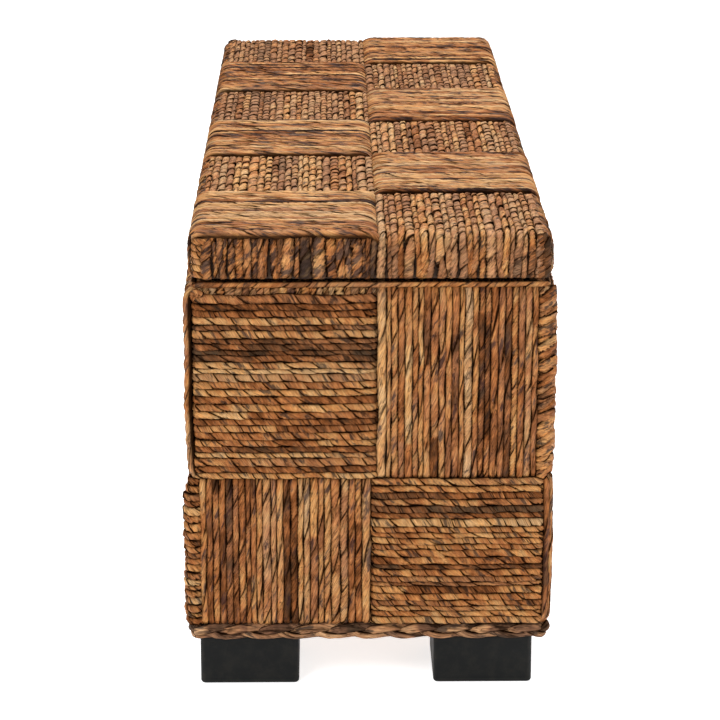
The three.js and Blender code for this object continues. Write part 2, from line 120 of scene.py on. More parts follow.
class Strands:
    """Collects twisted leaf ropes, and turns them into one mesh piece."""

    def __init__(self, seed):
        self.rng = np.random.default_rng(seed)
        self.co = []
        self.quads = []
        self.leaf = []
        self.look = []
        self.count = 0

    def rope(self, centre, outward, width, height, tone, turn, columns=6, rings=7,
             hand=1, crease=0.20, grey=0.0, bulge=0.07):
        """One rope along a path. Its mesh columns follow the leaf's own spiral, so the edge of
        each wrap is a real step. width and height are full sizes, and turn is the length of one
        wrap, in millimetres."""
        rng = self.rng
        step = np.linalg.norm(np.diff(centre, axis=0), axis=1)
        s_in = running(step)
        length = s_in[-1]
        count = max(4, int(length / turn * rings) + 1)
        s = np.linspace(0, length, count)
        c = np.stack([np.interp(s, s_in, centre[:, i]) for i in range(3)], 1)
        n = np.stack([np.interp(s, s_in, outward[:, i]) for i in range(3)], 1)
        w = np.interp(s, s_in, np.broadcast_to(width, s_in.shape)) / 2
        h = np.interp(s, s_in, np.broadcast_to(height, s_in.shape)) / 2
        t = unit(np.gradient(c, axis=0))
        n = unit(n - t * np.sum(n * t, axis=1, keepdims=True))
        b = np.cross(t, n)
        rate = np.clip(1 + 0.38 * wobble(s, rng, 70), 0.3, 2.0)
        spin = running((rate[1:] + rate[:-1]) / 2 * np.diff(s)) / turn
        swell = 1 + 0.045 * wobble(s, rng, 34) + 0.03 * wobble(s, rng, 13)
        q = np.linspace(0, 1, columns + 1)
        theta = TAU * (q[None, :] + (hand * spin + rng.uniform())[:, None])
        edge = crease * np.clip(1 + 0.75 * wobble(s, rng, 36), 0.05, 2.2)[:, None]
        skin = 1 + edge * (0.5 - q)[None, :] + bulge * np.sin(math.pi * q)[None, :] - bulge * 0.5
        skin[:, 0] -= 0.3 * edge[:, 0]
        # Two more columns make the step's own face, so that its edges stay sharp.
        theta, skin = (np.concatenate([v, v[:, -1:], v[:, :1]], 1) for v in (theta, skin))
        q = np.append(q, [0, 0])
        lean, across = np.cos(theta), np.sin(theta)
        up = np.abs(lean) ** np.where(lean > 0, 0.62, 1.0) * np.sign(lean)
        across = np.abs(across) ** 0.85 * np.sign(across)
        skin = skin * swell[:, None]
        points = (c[:, None, :]
                  + n[:, None, :] * (up * skin * h[:, None])[:, :, None]
                  + b[:, None, :] * (across * skin * w[:, None])[:, :, None])
        m, k = points.shape[:2]
        base = self.count + np.arange(m - 1)[:, None] * k + np.append(np.arange(columns), columns + 1)
        quads = np.stack([base, base + 1, base + 1 + k, base + k], 2).reshape(-1, 4)
        self.co.append(points.reshape(-1, 3))
        self.quads.append(quads)
        leaf = np.empty((m, k, 3))
        leaf[..., 0] = q[None, :]
        leaf[..., 1] = s[:, None] / 100
        leaf[..., 2] = rng.uniform()
        self.leaf.append(leaf.reshape(-1, 3))
        tone = np.interp(s, s_in, np.broadcast_to(tone, s_in.shape))
        splices = np.searchsorted(np.cumsum(rng.uniform(20, 110, int(length / 20) + 2)), s)
        new_leaf = rng.standard_normal((2, splices.max() + 1))[:, splices]
        look = np.empty((m, k, 3))
        look[..., 0] = np.clip(tone + 0.085 * new_leaf[0] + 0.07 * wobble(s, rng, 60), 0, 1)[:, None]
        look[..., 1] = np.clip(grey + 0.15 * new_leaf[1] + 0.12 * wobble(s, rng, 110), 0, 1)[:, None]
        # How far a point faces out of the weave; the leaf materials paint shade where it faces in.
        look[..., 2] = lean * 0.5 + 0.5
        self.look.append(look.reshape(-1, 3))
        self.count += m * k

    def piece(self, name, body, material, slot, *nodes):
        """Makes the ropes one mesh that rides a body and stands for the CAD nodes named."""
        co = np.concatenate(self.co) * MM
        quads = np.concatenate(self.quads)
        me = bpy.data.meshes.new(name)
        me.vertices.add(len(co))
        me.vertices.foreach_set("co", co.astype(np.float32).ravel())
        me.loops.add(quads.size)
        me.loops.foreach_set("vertex_index", quads.astype(np.int32).ravel())
        me.polygons.add(len(quads))
        me.polygons.foreach_set("loop_start", np.arange(0, quads.size, 4, dtype=np.int32))
        me.polygons.foreach_set("use_smooth", np.ones(len(quads), bool))
        for attribute, values in (("leaf", self.leaf), ("look", self.look)):
            data = me.attributes.new(attribute, "FLOAT_VECTOR", "POINT").data
            data.foreach_set("vector", np.concatenate(values).astype(np.float32).ravel())
        me.update(calc_edges=True)
        me.materials.append(material)
        made = add(name, me)
        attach(made, body)
        if nodes:
            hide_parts(*nodes)


class Case:
    """The rounded rectangle that a wall of ropes follows. Distance runs anticlockwise from the
    +X, -Y corner; the two ends are the first and third sides."""

    def __init__(self, long, deep, corner):
        self.corner = corner
        self.starts = running([2 * deep, 2 * long] * 2)
        self.total = self.starts[-1]
        self.corners = [(long, -deep), (long, deep), (-long, deep), (-long, -deep)]
        self.out = [(1, 0), (0, 1), (-1, 0), (0, -1)]
        self.along = [(0, 1), (-1, 0), (0, -1), (1, 0)]

    def at(self, u, d, z, rise=0):
        """Points at distance u round the case, d beyond its face and at height z, and outward
        directions, which point up by rise."""
        u = np.mod(np.asarray(u, float), self.total)
        d = np.broadcast_to(np.asarray(d, float), u.shape)[..., None]
        xy = np.zeros(u.shape + (2,))
        normal = np.zeros_like(xy)
        for i in range(4):
            on = (u >= self.starts[i]) & (u < self.starts[i + 1])
            at, along, out = (np.array(v[i], float) for v in (self.corners, self.along, self.out))
            xy[on] = (at + along * (u - self.starts[i])[..., None] + out * d)[on]
            normal[on] = out
        for i in range(4):
            past = np.mod(u - self.starts[i] + self.corner, self.total)
            near = past < 2 * self.corner
            at, before, out = (np.array(v, float) for v in (self.corners[i], self.out[i - 1], self.out[i]))
            turn = (past / (2 * self.corner) * math.pi / 2)[..., None]
            facing = before * np.cos(turn) + out * np.sin(turn)
            xy[near] = (at - (before + out) * self.corner + facing * (self.corner + d))[near]
            normal[near] = facing[near]
        return lift(xy, z), lift(normal, rise)


def lift(xy, z):
    """Adds a height to points or directions in the plan."""
    return np.concatenate([xy, np.broadcast_to(np.asarray(z, float), xy.shape[:-1])[..., None]], -1)


def widths(rng, span, spread=0.20):
    """Rope widths that fill a span, and the middle of each."""
    count = max(2, int(round(span / ROPE)))
    w = 1 + spread * rng.uniform(-1, 1, count) + 0.5 * spread * rng.standard_normal(count)
    w = np.clip(w, 0.62, 1.5)
    w *= span / w.sum()
    edges = running(w)
    return w, (edges[1:] + edges[:-1]) / 2


def depth(t, a, b, crown):
    """How deep a rope lies along its length: over its neighbours between a and b, under beyond."""
    up = smoothstep((t - (a - 3.5)) / 12) * smoothstep(((b + 3.5) - t) / 12)
    mid = (a + b) / 2
    dome = crown * (1 - ((t - mid) / ((b - a) / 2)) ** 2)
    return UNDER + (OVER - UNDER) * up + np.maximum(dome, -1)


def soften(points, passes):
    """Rounds the bends of a line, and keeps its ends."""
    p = points.copy()
    for _ in range(passes):
        p[1:-1] = (p[:-2] + 2 * p[1:-1] + p[2:]) / 4
    return p


def trace(points, passes=5):
    """A smooth line of closely spaced points through a few control points."""
    p = np.asarray(points, float)
    s = running(np.linalg.norm(np.diff(p, axis=0), axis=1))
    t = np.linspace(0, s[-1], max(6, int(s[-1] / TRACE_STEP) + 1))
    q = np.stack([np.interp(t, s, p[:, i]) for i in range(p.shape[1])], 1)
    return soften(q, passes)


def side_normals(p):
    """For a line in (reach, height) that runs outwards and then down, the outward directions."""
    t = unit(np.gradient(p, axis=0))
    return np.stack([-t[:, 1], t[:, 0]], 1)


# ---- Materials ----


class Nodes:
    """A material and short calls that add shader nodes to it. A value given to one of them may
    be a number or another node's output."""

    def __init__(self, name):
        self.material = bpy.data.materials.new(name)
        self.material.use_nodes = True
        self.tree = self.material.node_tree
        self.tree.nodes.clear()
        self.output = self.new("ShaderNodeOutputMaterial")
        self.shader = self.new("ShaderNodeBsdfPrincipled")
        self.link(self.shader.outputs[0], self.output.inputs["Surface"])

    def new(self, kind, **values):
        node = self.tree.nodes.new(kind)
        for key, value in values.items():
            setattr(node, key, value)
        return node

    def link(self, source, target):
        self.tree.links.new(source, target)

    def plug(self, node, values):
        for key, value in values.items():
            socket = node.inputs[key]
            if isinstance(value, bpy.types.NodeSocket):
                self.link(value, socket)
            else:
                socket.default_value = value

    def math(self, operation, *values):
        node = self.new("ShaderNodeMath", operation=operation)
        self.plug(node, dict(enumerate(values)))
        return node.outputs[0]

    def clamp01(self, value):
        node = self.new("ShaderNodeClamp")
        self.plug(node, {0: value})
        return node.outputs[0]

    def combine(self, x, y, z):
        node = self.new("ShaderNodeCombineXYZ")
        self.plug(node, {0: x, 1: y, 2: z})
        return node.outputs[0]

    def noise(self, vector, scale, detail, roughness, distortion=0.0):
        node = self.new("ShaderNodeTexNoise")
        self.plug(node, {"Vector": vector, "Scale": scale, "Detail": detail,
                         "Roughness": roughness, "Distortion": distortion})
        return node.outputs["Fac"]

    def attribute(self, name):
        """The three parts of a mesh attribute."""
        node = self.new("ShaderNodeSeparateXYZ")
        self.link(self.new("ShaderNodeAttribute", attribute_name=name).outputs["Vector"], node.inputs[0])
        return node.outputs

    def place(self):
        return self.new("ShaderNodeTexCoord").outputs["Object"]

    def ramp(self, value, stops):
        node = self.new("ShaderNodeValToRGB")
        ramp = node.color_ramp
        while len(ramp.elements) < len(stops):
            ramp.elements.new(0.5)
        for element, (place, colour) in zip(ramp.elements, stops):
            element.position = place
            element.color = (*colour, 1)
        self.link(value, node.inputs[0])
        return node.outputs[0]

    def mix(self, factor, a, b):
        node = self.new("ShaderNodeMix", data_type="RGBA")
        self.plug(node, {0: factor, 6: a, 7: b})
        return node.outputs[2]

    def bump(self, height, strength, distance):
        node = self.new("ShaderNodeBump")
        self.plug(node, {"Height": height, "Strength": strength, "Distance": distance})
        return node.outputs[0]

    def spread(self, value, low, high, to_low, to_high):
        node = self.new("ShaderNodeMapRange")
        self.plug(node, {0: value, 1: low, 2: high, 3: to_low, 4: to_high})
        return node.outputs[0]


def srgb(code):
    """A colour written as six hexadecimal digits, in linear light."""
    parts = [int(code[i:i + 2], 16) / 255 for i in (0, 2, 4)]
    return tuple(p / 12.92 if p <= 0.04045 else ((p + 0.055) / 1.055) ** 2.4 for p in parts)


def leaf_material(name, strip_mm, lean, stops, furrow=1.0, stained=0.56, seams=1.0,
                  dull_colour="82664C", scar_colour="22140A", brightest=1.42, cracks=0.75, patchy=0.0):
    """Dried banana leaf, wound into rope. The leaf attribute holds the place across the strip,
    the distance along the rope in decimetres and a number for each rope. The look attribute
    holds the rope's tone, its greyness, and how far a point faces out of the weave."""
    # furrow, seams and cracks set the strength of the painted shade in the furrows, at the seams and in the
    # splits; cracks also sets how deep the splits sink in the bump.
    n = Nodes(name)
    q, along, rope = n.attribute("leaf")
    tone, grey, facing = n.attribute("look")
    across_mm = n.math("MULTIPLY", q, strip_mm)
    along_mm = n.math("MULTIPLY", along, 100 * lean)
    lot_a = n.math("MULTIPLY", rope, 913.0)
    lot_b = n.math("MULTIPLY", rope, 377.0)

    def grain(across, length, lot, detail, roughness, distortion=0.0):
        """Noise drawn out along the leaf, from a lot of its own for each rope."""
        where = n.combine(n.math("MULTIPLY", across_mm, across), n.math("MULTIPLY", along_mm, length), lot)
        return n.noise(where, 1, detail, roughness, distortion)

    def swing(value, size, middle=0.5):
        return n.math("MULTIPLY", n.math("SUBTRACT", value, middle), size)

    fibre = grain(0.85, 0.045, lot_a, 3, 0.66, 0.3)
    hair = grain(2.3, 0.10, lot_a, 2, 0.6)
    split = n.math("ABSOLUTE", n.math("SUBTRACT", grain(0.42, 0.030, lot_b, 2, 0.5, 0.4), 0.5))
    blotch = grain(0.16, 0.040, lot_a, 3, 0.62)
    stain = grain(0.22, 0.036, lot_b, 3, 0.6)
    shade = n.math("ADD", n.math("ADD", tone, swing(fibre, 0.45)), swing(blotch, 0.80))
    base = n.ramp(shade, stops)
    greyness = n.clamp01(n.math("ADD", grey, swing(stain, 1.5)))
    dull = n.mix(0.6, base, (*srgb(dull_colour), 1))
    base = n.mix(n.math("MULTIPLY", greyness, 0.75), base, dull)
    scarred = n.math("ADD", stain, swing(tone, patchy, 0.4))
    scar = n.clamp01(n.spread(scarred, stained, stained + 0.07, 0, 1))
    base = n.mix(n.math("MULTIPLY", scar, 0.80), base, (*srgb(scar_colour), 1))
    streak = n.spread(hair, 0.30, 0.70, 0.46, brightest)
    streaked = n.new("ShaderNodeVectorMath", operation="SCALE")
    n.link(base, streaked.inputs[0])
    n.link(streak, streaked.inputs["Scale"])
    # Painted shade: the seams between leaf wraps and the splits in the leaf are darkened as if in shadow.
    edge = n.math("MINIMUM", q, n.math("SUBTRACT", 1.0, q))
    seam = n.math("MULTIPLY", n.clamp01(n.spread(edge, 0.025, 0.075, 1.0, 0.0)),
                  n.clamp01(n.spread(blotch, 0.36, 0.54, 0.2 * seams, 0.95 * seams)))
    crack = n.math("MULTIPLY", n.clamp01(n.spread(split, 0.0, 0.022, 1.0, 0.0)), cracks)
    seam_and_split_shade = n.math("MAXIMUM", seam, crack)
    # Painted shade in the furrows, where a rope faces into the weave.
    rut = n.math("MULTIPLY", n.clamp01(n.spread(facing, 0.58, 0.85, 1.0, 0.0)), 0.97 * furrow)
    painted_shade = n.math("MAXIMUM", seam_and_split_shade, rut)
    # The near-black 1B0D04 is painted shade, mixed in by the masks above; the sheen is kept out of it.
    colour = n.mix(painted_shade, streaked.outputs[0], (*srgb("1B0D04"), 1))
    sheen = n.math("MULTIPLY", n.spread(shade, 0.34, 0.66, 0.32, 0.04), n.math("SUBTRACT", 1.0, painted_shade))
    height = n.math("ADD", n.math("MULTIPLY", fibre, 0.9), n.math("MULTIPLY", hair, 0.4))
    height = n.math("SUBTRACT", height, n.math("MULTIPLY", crack, 0.6))
    n.plug(n.shader, {"Base Color": colour, "Specular IOR Level": n.clamp01(sheen),
                      "Roughness": n.spread(fibre, 0.25, 0.75, 0.50, 0.78),
                      "Normal": n.bump(height, 1.0, 0.0012)})
    return n.material


# The leaf's colours from the palest tone, 0, to the darkest, 1
ROPE_STOPS = [
    (0.00, srgb("C69B68")), (0.15, srgb("BC8A51")), (0.30, srgb("B4793E")), (0.44, srgb("9E602E")),
    (0.57, srgb("824B24")), (0.71, srgb("5E371C")), (0.86, srgb("3A2413")), (1.00, srgb("180F08")),
]
BRAID_STOPS = [
    (0.00, srgb("CFA67C")), (0.25, srgb("B88759")), (0.45, srgb("966742")), (0.60, srgb("6C4935")),
    (0.80, srgb("4E3427")), (1.00, srgb("281A12")),
]
leaf_rope = leaf_material("leaf_rope", 13.5, 1.75, ROPE_STOPS, seams=1.4, brightest=1.36, cracks=0.4)
smooth_leaf = leaf_material("smooth_leaf", 13.5, 1.05, ROPE_STOPS, stained=0.58, seams=1.1,
                            dull_colour="8E6B54", scar_colour="2A1718", brightest=1.30)
beaded_leaf = leaf_material("beaded_leaf", 13.5, 1.75, ROPE_STOPS, stained=0.60,
                            dull_colour="93775E")
stained_leaf = leaf_material("stained_leaf", 13.5, 1.6, ROPE_STOPS, stained=0.50, seams=1.2,
                             scar_colour="2B201E")
streaked_leaf = leaf_material("streaked_leaf", 21.0, 0.75, ROPE_STOPS, furrow=0.9, stained=0.535,
                              dull_colour="8C6E55", scar_colour="1A1216", brightest=1.30, patchy=0.35)
braid_leaf = leaf_material("braid_leaf", 16.0, 1.05, BRAID_STOPS, furrow=1.15, stained=0.53, seams=0.9,
                           brightest=1.30)


def under_material():
    # Painted shade: near-black leaf for the ropes beneath, which lie in shadow.
    n = Nodes("shadowed_leaf")
    grain = n.noise(n.place(), 420, 3, 0.6)
    n.plug(n.shader, {"Base Color": n.ramp(grain, [(0.3, srgb("24160C")), (0.7, srgb("4A3220"))]),
                      "Roughness": n.spread(grain, 0.3, 0.7, 0.75, 0.95),
                      "Normal": n.bump(grain, 0.5, 0.001)})
    return n.material


def stretched(n, scale):
    mapping = n.new("ShaderNodeMapping")
    n.plug(mapping, {"Vector": n.place(), "Scale": scale})
    return mapping.outputs[0]


def timber_material(name, light, deep, scale, rough=(0.55, 0.8)):
    n = Nodes(name)
    vector = stretched(n, scale)
    rings = n.noise(vector, 5.0, 4, 0.55, 1.4)
    pores = n.noise(vector, 38.0, 2, 0.6)
    figure = n.math("ADD", n.math("MULTIPLY", rings, 0.8), n.math("MULTIPLY", pores, 0.25))
    colour = n.ramp(figure, [(0.34, light), (0.52, deep), (0.60, light), (0.74, deep)])
    n.plug(n.shader, {"Base Color": colour, "Roughness": n.spread(pores, 0.3, 0.7, *rough),
                      "Normal": n.bump(figure, 0.35, 0.0008)})
    return n.material


def black_paint():
    n = Nodes("black_paint")
    grain = n.noise(stretched(n, (6, 1, 1)), 26.0, 4, 0.6, 0.6)
    worn = n.noise(n.place(), 60.0, 4, 0.7)
    edge = n.new("ShaderNodeNewGeometry").outputs["Pointiness"]
    rub = n.clamp01(n.math("MULTIPLY", n.spread(edge, 0.53, 0.60, 0, 1), n.spread(worn, 0.45, 0.65, 0, 1)))
    paint = n.ramp(worn, [(0.3, srgb("060707")), (0.7, srgb("0D0F0E"))])
    n.plug(n.shader, {"Base Color": n.mix(n.math("MULTIPLY", rub, 0.5), paint, (*srgb("4C4238"), 1)),
                      "Roughness": n.spread(worn, 0.3, 0.7, 0.42, 0.62), "Specular IOR Level": 0.14,
                      "Normal": n.bump(grain, 0.25, 0.0006)})
    return n.material


def steel_material():
    n = Nodes("zinc_steel")
    brush = n.noise(stretched(n, (1, 14, 14)), 60.0, 3, 0.6)
    cloud = n.noise(n.place(), 45.0, 3, 0.6)
    n.plug(n.shader, {"Base Color": n.ramp(cloud, [(0.3, srgb("9C978A")), (0.7, srgb("BDB8AA"))]),
                      "Metallic": 1.0, "Roughness": n.spread(brush, 0.3, 0.7, 0.28, 0.48),
                      "Normal": n.bump(brush, 0.2, 0.0003)})
    return n.material


shadowed_leaf = under_material()
pine = srgb("C9A36B"), srgb("A67B48")
pine_x = timber_material("pine_along", *pine, (1.5, 14, 14))
pine_y = timber_material("pine_across", *pine, (14, 1.5, 14))
pine_z = timber_material("pine_upright", *pine, (14, 14, 1.5))
ply = timber_material("brown_ply", srgb("8A6440"), srgb("6E4C2E"), (1.2, 12, 9), (0.45, 0.65))
paint = black_paint()
steel = steel_material()


def cad_material(node):
    if node.endswith("_foot"):
        return paint
    if node.endswith("_bolt") or node.startswith("hinge_") or "_stay_" in node:
        return steel
    if node.endswith("_lining") or node == "bottom_panel":
        return ply
    if node.endswith("_post"):
        return pine_z
    across = ("left_top_rail", "right_top_rail", "left_bottom_rail", "right_bottom_rail",
              "lid_left_rail", "lid_right_rail", "lid_middle_rail")
    return pine_y if node in across else pine_x


for node_name, node_object in frame["nodes"].items():
    chosen = cad_material(node_name)
    node_object.data.materials.clear()
    node_object.data.materials.append(chosen)

# ---- Ropes of the walls ----
body_case = Case(HALF_LONG, HALF_DEEP, CORNER)


def tones(rng, count, mean, spread, dark_share, grey_mean):
    """Tones and greyness of a number of ropes. A share of the ropes is much darker."""
    tone = np.clip(mean + spread * rng.standard_normal(count), 0.05, 0.95)
    darker = rng.uniform(size=count) < dark_share
    tone[darker] = np.clip(tone[darker] + 0.28, 0, 0.97)
    grey = np.clip(grey_mean + 0.28 * rng.standard_normal(count), 0, 1)
    return tone, grey


# Where the bundles meet. The long sides own the upright corners: their last upright bundle ends
# a little way round, and their sideways ropes wrap right round and dive on the end's face.
UPRIGHT_CORNER = {"upper": 2.4, "lower": 6.3}
SIDEWAYS_CORNER = {"upper": 20.0, "lower": 13.0}
END_SPLIT = {"upper": 7.0, "lower": 0.0}  # from the middle of the +X end


def column_bounds(row):
    """Where each of the sixteen columns of squares begins, round the body."""
    end, side = 2 * HALF_DEEP, 2 * HALF_LONG
    first, last = UPRIGHT_CORNER[row], SIDEWAYS_CORNER[row]
    if row == "lower":
        first, last = last, first
    starts = []
    for base in (0, end + side):
        starts += [base + first, base + end / 2 + END_SPLIT[row]]
        starts += [base + end - last] + [base + end + side * i / 6 for i in range(1, 6)]
    return starts + [starts[0] + body_case.total]


COLUMNS = {row: column_bounds(row) for row in ("upper", "lower")}
WALL_NODES = ["right_weave"] * 2 + ["back_weave"] * 6 + ["left_weave"] * 2 + ["front_weave"] * 6

# The ropes of the +X end's four bundles, as judged, listed as (relative width, tone, greyness).
# Upright ropes run from -Y to +Y, and sideways ropes from the bottom up.
BUNDLES = {
    ("upper", 0): [
        (1.0, 0.33, 0.0), (1.0, 0.60, 0.1), (1.2, 0.44, 0.5), (0.75, 0.30, 0.4), (1.0, 0.56, 0.3),
        (0.9, 0.42, 0.0), (1.1, 0.36, 0.2), (1.0, 0.46, 0.4), (0.9, 0.58, 0.0), (1.0, 0.40, 0.0),
        (1.0, 0.36, 0.2), (1.2, 0.58, 0.1), (1.0, 0.22, 0.0), (1.0, 0.36, 0.1), (1.3, 0.26, 0.8),
        (0.7, 0.10, 0.4), (1.0, 0.30, 0.3), (1.0, 0.70, 0.3), (0.7, 0.74, 0.3), (1.1, 0.58, 0.2),
        (0.75, 0.64, 0.4), (1.3, 0.24, 0.3), (0.75, 0.62, 0.4), (1.2, 0.24, 0.3), (0.9, 0.54, 0.0),
        (1.0, 0.60, 0.0), (1.2, 0.58, 0.5),
    ],
    ("upper", 1): [
        (1.5, 0.10, 0.6), (0.8, 0.38, 0.2), (1.0, 0.46, 0.3), (1.0, 0.44, 0.3), (1.2, 0.34, 0.2),
        (0.9, 0.34, 0.3), (0.7, 0.30, 0.0), (1.0, 0.46, 0.2), (1.2, 0.50, 0.1), (1.0, 0.33, 0.5),
        (1.0, 0.50, 0.2), (1.1, 0.56, 0.1), (0.8, 0.42, 0.1), (1.3, 0.16, 0.9), (1.0, 0.34, 0.2),
        (1.0, 0.60, 0.1), (0.9, 0.54, 0.1), (1.1, 0.48, 0.2), (1.0, 0.52, 0.2), (1.1, 0.58, 0.2),
        (1.0, 0.38, 0.1), (1.0, 0.52, 0.2), (1.1, 0.34, 0.5), (0.9, 0.48, 0.3),
    ],
    ("lower", 0): [
        (1.0, 0.42, 0.0), (1.0, 0.58, 0.1), (1.0, 0.48, 0.0), (1.0, 0.56, 0.1), (1.0, 0.60, 0.4),
        (0.9, 0.50, 0.2), (1.1, 0.46, 0.0), (0.8, 0.56, 0.1), (0.9, 0.44, 0.1), (1.0, 0.30, 0.3),
        (1.2, 0.28, 0.6), (1.0, 0.32, 0.6), (1.0, 0.38, 0.4), (1.1, 0.76, 0.2), (1.1, 0.64, 0.0),
        (1.0, 0.29, 0.5), (1.0, 0.26, 0.6), (1.2, 0.32, 0.3), (0.9, 0.32, 0.2), (1.0, 0.32, 0.3),
        (1.4, 0.36, 0.3), (1.2, 0.27, 0.6), (1.1, 0.54, 0.0), (1.1, 0.52, 0.0), (1.4, 0.27, 0.4),
    ],
    ("lower", 1): [
        (1.0, 0.30, 0.3), (1.0, 0.30, 0.1), (0.9, 0.38, 0.3), (1.0, 0.44, 0.1), (1.0, 0.34, 0.0),
        (1.2, 0.30, 0.0), (0.7, 0.42, 0.4), (0.9, 0.40, 0.5), (1.1, 0.40, 0.0), (0.7, 0.60, 0.4),
        (1.2, 0.48, 0.0), (1.1, 0.40, 0.0), (0.9, 0.46, 0.2), (1.0, 0.32, 0.0), (0.9, 0.34, 0.2),
        (0.9, 0.38, 0.1), (1.2, 0.16, 0.3), (1.0, 0.64, 0.2), (1.2, 0.70, 0.5), (1.1, 0.42, 0.3),
        (1.0, 0.54, 0.1), (1.0, 0.34, 0.0), (1.2, 0.34, 0.4),
    ],
}
# A bundle's corner rope: (row, column): (which rope, relative width, tone, greyness, swelling)
CORNER_ROPES = {("upper", 15): (-1, 1.75, 0.32, 0.3, 4.0), ("lower", 2): (0, 1.3, 0.50, 0.3, 0.0)}


def fill(rng, row, column, span, mean_tone, spread, dark_share, grey_mean):
    """Widths, places, tones and greyness of the ropes that fill a square."""
    if (row, column) in BUNDLES:
        w, tone, grey = np.array(BUNDLES[row, column]).T
        w = w * (1 + 0.06 * rng.standard_normal(len(w)))
    else:
        w, _ = widths(rng, span)
        tone, grey = tones(rng, len(w), mean_tone, spread, dark_share, grey_mean)
    if (row, column) in CORNER_ROPES:
        which, size, tone[which], grey[which], _ = CORNER_ROPES[row, column]
        w[which] *= size
    w = w * span / w.sum()
    edges = running(w)
    return w, (edges[1:] + edges[:-1]) / 2, tone, grey


def rings_for(turn):
    """Mesh rings in each turn of a rope, about 3.6 mm apart."""
    return max(6, int(round(turn / 3.6)))


def sideways_square(row, column, low, high, seed):
    """A bundle of sideways ropes over one square."""
    a, b = COLUMNS[row][column], COLUMNS[row][column + 1]
    strands = Strands(seed)
    rng = strands.rng
    fine = WALL_NODES[column] in ("right_weave", "left_weave")
    w, middle, tone, grey = fill(rng, row, column, high - low, 0.43, 0.15, 0.10, 0.14)
    leafy = row == "upper" and column in (2, 10)
    swell = 6.0 if row == "lower" and column in (7, 15) else 0.0
    if leafy:
        tone = 0.42 + 0.3 * (tone - 0.44)
    if swell:
        tone = 0.37 + 0.40 * (tone - 0.44)
    crown = rng.uniform(1.8, 3.0)
    for i, (width, z0) in enumerate(zip(w, middle)):
        u = np.arange(a - DIVE, b + DIVE + 0.1, WALL_STEP)
        x = (z0 / (high - low)) * 2 - 1
        d = depth(u, a, b, crown * (1 - 0.5 * x * x)) - 1.2 * abs(x) ** 6
        d += 0.5 * wobble(u, rng, 60) + rng.uniform(-0.8, 0.5)
        swollen = swell * smoothstep((high - low - z0) / 24)
        d += swollen * smoothstep((u - (b - 45)) / 25) * smoothstep((b + 2 - u) / 12)
        z = low + z0 + 0.7 * wobble(u, rng, 70)
        turn = rng.uniform(13, 28)
        if leafy:
            near = 1 - smoothstep((u - a - 18) / 25)
            z += near * (rng.uniform(-1.5, 1.5) + 0.60 * (u - a - 12))
            d += near * rng.uniform(-1.6, 1.8)
            turn = rng.uniform(70, 130)
        strands.rope(*body_case.at(u, d, z), width * (1.6 if leafy else 1.06), ROPE_HEIGHT, tone[i],
                     turn, 7 if fine else 5, rings_for(turn), grey=grey[i],
                     crease=rng.uniform(0.08, 0.36))
    return strands


def upright_square(row, column, low, high, seed):
    """A bundle of upright ropes over one square. A top one turns in over the rail."""
    tuck_top = row == "upper"
    a, b = COLUMNS[row][column], COLUMNS[row][column + 1]
    strands = Strands(seed)
    rng = strands.rng
    fine = WALL_NODES[column] in ("right_weave", "left_weave")
    w, middle, tone, grey = fill(rng, row, column, b - a, 0.41, 0.14, 0.10, 0.22)
    crown = rng.uniform(1.8, 3.0)
    for i, (width, along) in enumerate(zip(w, middle)):
        x = along / (b - a) * 2 - 1
        z = np.arange(low - DIVE, (BODY_TOP - 9 if tuck_top else high + DIVE) + 0.1, WALL_STEP)
        d = depth(z, low, high + (30 if tuck_top else 0), crown * (1 - 0.5 * x * x))
        if tuck_top:
            d = np.minimum(d, OVER + 1.5 * smoothstep((BODY_TOP - z) / 60) + 1)
        d += -1.2 * abs(x) ** 6 + 0.5 * wobble(z, rng, 60) + rng.uniform(-0.8, 0.5)
        if low < BODY_BOTTOM + 5:
            d = np.minimum(d, UNDER + 9 * smoothstep((z - (BODY_BOTTOM - 8)) / 9) + crown)
        which, *_, swell = CORNER_ROPES.get((row, column), (None, 0))
        if which in (i, i - len(w)):
            d += swell * smoothstep((z - low) / 30)
        u = a + along + 0.6 * wobble(z, rng, 80)
        height = np.full(z.shape, ROPE_HEIGHT)
        if tuck_top:
            z, d, u, height = turn_in(z, d, u, height)
        turn = rng.uniform(34, 105)
        strands.rope(*over_rail(z, d, u), width * 1.06, height, tone[i], turn,
                     7 if fine else 5, rings_for(turn), grey=grey[i], crease=rng.uniform(0.08, 0.34))
    return strands


def turn_in(z, d, u, height):
    """Carries an upright rope over the top rail and in to the lining, flatter as it goes."""
    corner = float(np.mod(u[-1], body_case.total))
    gaps = np.abs(corner - body_case.starts)
    reach = min(37.0, max(12.5, float(gaps.min()) - 3))
    tail = np.array([(BODY_TOP - 6.4, -6.4), (BODY_TOP - 4.6, -8.6), (BODY_TOP - 3.8, -13.0)]
                    + [(BODY_TOP - 3.2, -k) for k in np.arange(15.0, reach, 2.0)])
    line = soften(np.concatenate([np.stack([z, d], 1), tail]), 3)
    more = len(tail)
    return (line[:, 0], line[:, 1], np.concatenate([u, np.full(more, u[-1])]),
            np.concatenate([height, np.linspace(7.5, 5.8, more)]))


def over_rail(z, d, u):
    """Points of an upright rope and its outward directions, which turn up on top of the rail."""
    points, outward = body_case.at(u, d, z)
    outward[z > BODY_TOP - 6] += [0, 0, 1.6]
    return points, outward


